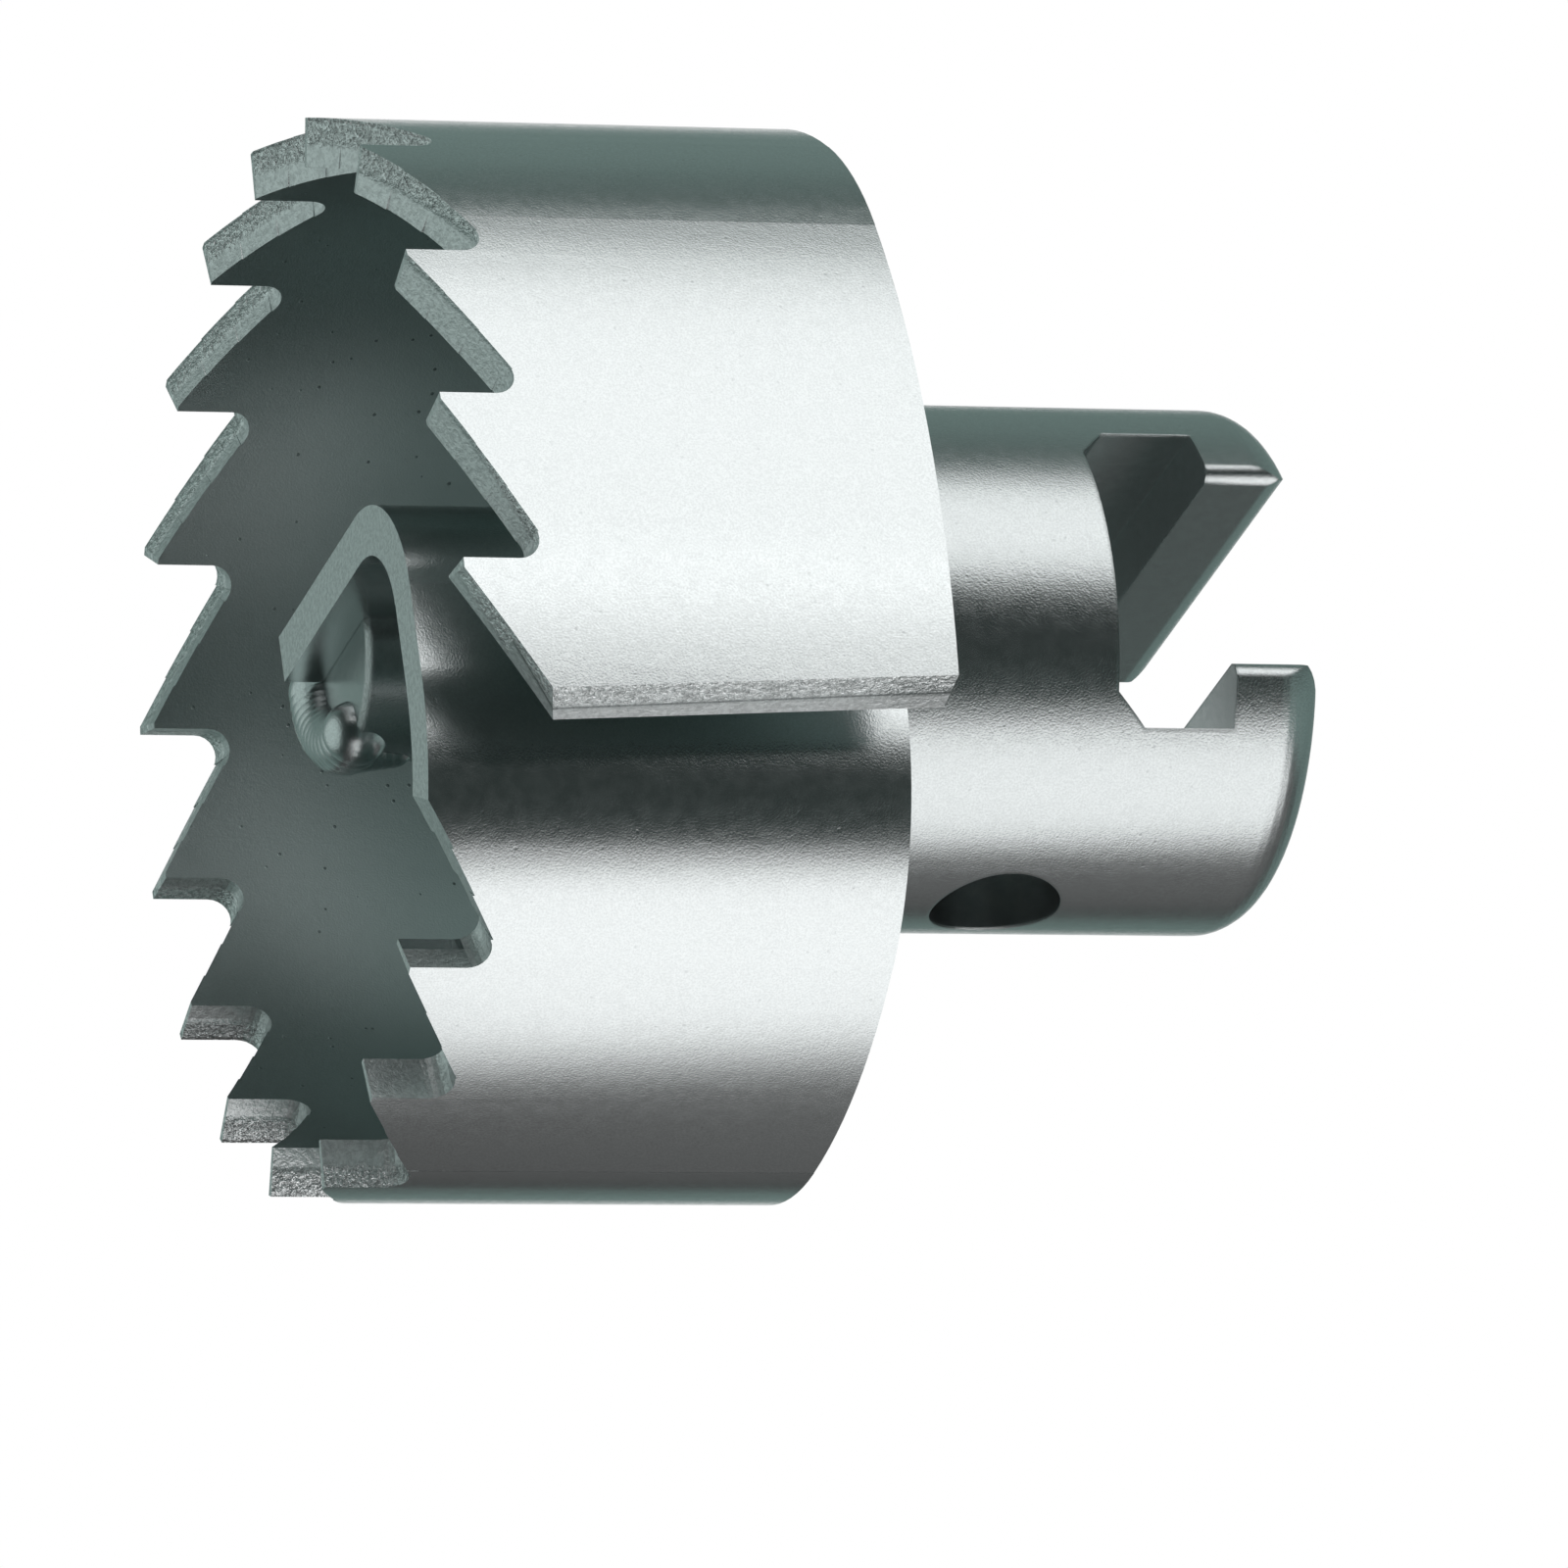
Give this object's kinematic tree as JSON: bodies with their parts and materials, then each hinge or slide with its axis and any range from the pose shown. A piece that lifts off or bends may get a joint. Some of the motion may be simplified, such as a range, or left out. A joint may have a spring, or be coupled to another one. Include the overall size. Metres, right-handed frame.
{
  "type": "root cutter head",
  "caption": "Crown cutter for drain-cleaning cables: a ring of saw teeth rolled from sheet steel, welded to a round coupling with a T slot and a release hole.",
  "frame": {"origin": "centre of the coupling's flat rear end, on its axis and in the middle of the T slot's mouth", "axes": "+Z along the coupling's axis from its rear face to the teeth, +Y along the T slot, -X towards the release hole"},
  "size_m": [0.0637, 0.0638, 0.06],
  "materials": {
    "plated_bar": "satin zinc plate over turned and milled steel",
    "plated_sheet": "satin zinc plate over rolled sheet, rough on its sheared edges",
    "plated_weld": "satin zinc plate over a smooth weld"
  },
  "bodies": {
    "root": {"coupling": "plated_bar", "toothed_band": "plated_sheet", "weld_bead": "plated_weld"}
  },
  "joints": []
}
